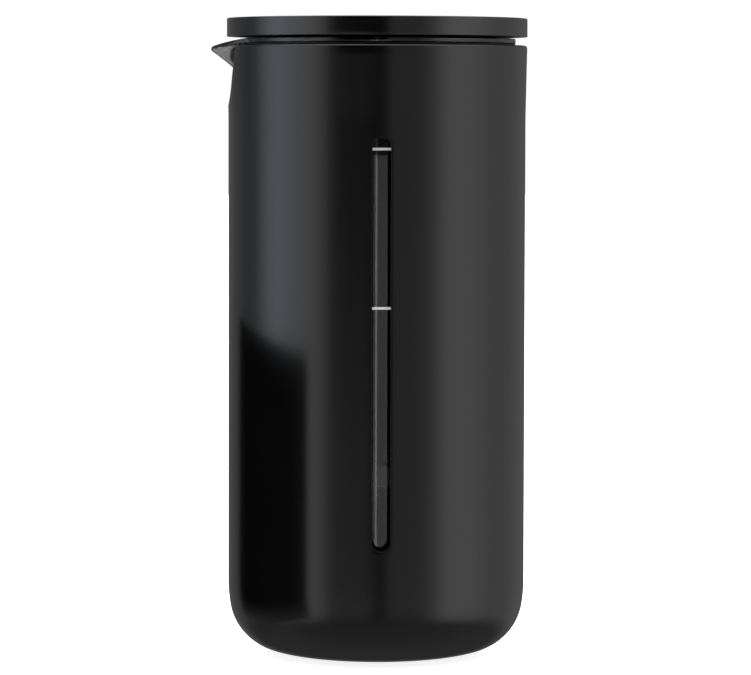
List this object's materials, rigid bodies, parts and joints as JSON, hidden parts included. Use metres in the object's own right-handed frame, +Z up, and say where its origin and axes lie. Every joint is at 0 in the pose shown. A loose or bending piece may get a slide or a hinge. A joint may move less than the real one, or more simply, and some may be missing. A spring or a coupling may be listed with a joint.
{
  "type": "french press",
  "caption": "Compact coffee press: a glass beaker in a black U-shaped casing, with a plug lid and a disc-knobbed filter plunger.",
  "frame": {"origin": "centre of the foot pad's underside, where the beaker's axis meets the table", "axes": "+Z up along the beaker's axis, -X towards the pouring spout, -Y towards the level window"},
  "size_m": [0.0882, 0.0838, 0.178],
  "materials": {
    "casing_plastic": "fine satin moulded",
    "lid_plastic": "satin moulded",
    "bush_plastic": "satin natural",
    "silicone": "matt",
    "beaker_glass": "clear",
    "mark_print": "fired enamel print",
    "filter_steel": "stamped",
    "screen_steel": "fine woven",
    "rod_steel": "drawn and polished",
    "insert_brass": "turned"
  },
  "bodies": {
    "vessel": {"outer_shell": "casing_plastic", "foot_pad": "silicone", "beaker_cushion": "silicone", "glass_beaker": "beaker_glass", "level_marks": "mark_print", "rim_gasket": "silicone"},
    "lid_ring": {"lid_gasket": "silicone"},
    "lid": {"lid_body": "lid_plastic", "lid_cover": "lid_plastic", "guide_bush": "bush_plastic", "splash_plate": "filter_steel"},
    "rod_ring": {"rod_seal": "silicone"},
    "plunger": {"knob_cap": "casing_plastic", "knob_base": "casing_plastic", "rod_insert": "insert_brass", "bumper_ring": "silicone", "plunger_rod": "rod_steel", "stop_collar": "rod_steel", "spiral_plate": "filter_steel", "edge_spring": "filter_steel", "filter_screen": "screen_steel", "cross_plate": "filter_steel"}
  },
  "joints": [
    {"name": "lid_lift", "type": "slide", "parent": "vessel", "child": "lid_ring", "axis": [0, 0, 1], "range_m": [0, 0.145]},
    {"name": "lid_turn", "type": "hinge", "parent": "lid_ring", "child": "lid", "pos_m": [0, 0, 0.15], "axis": [0, 0, 1], "continuous": true},
    {"name": "plunger_turn", "type": "hinge", "parent": "lid", "child": "rod_ring", "pos_m": [0, 0, 0.162], "axis": [0, 0, 1], "continuous": true},
    {"name": "plunger_press", "type": "slide", "parent": "rod_ring", "child": "plunger", "axis": [0, 0, 1], "range_m": [0, 0.084]}
  ]
}
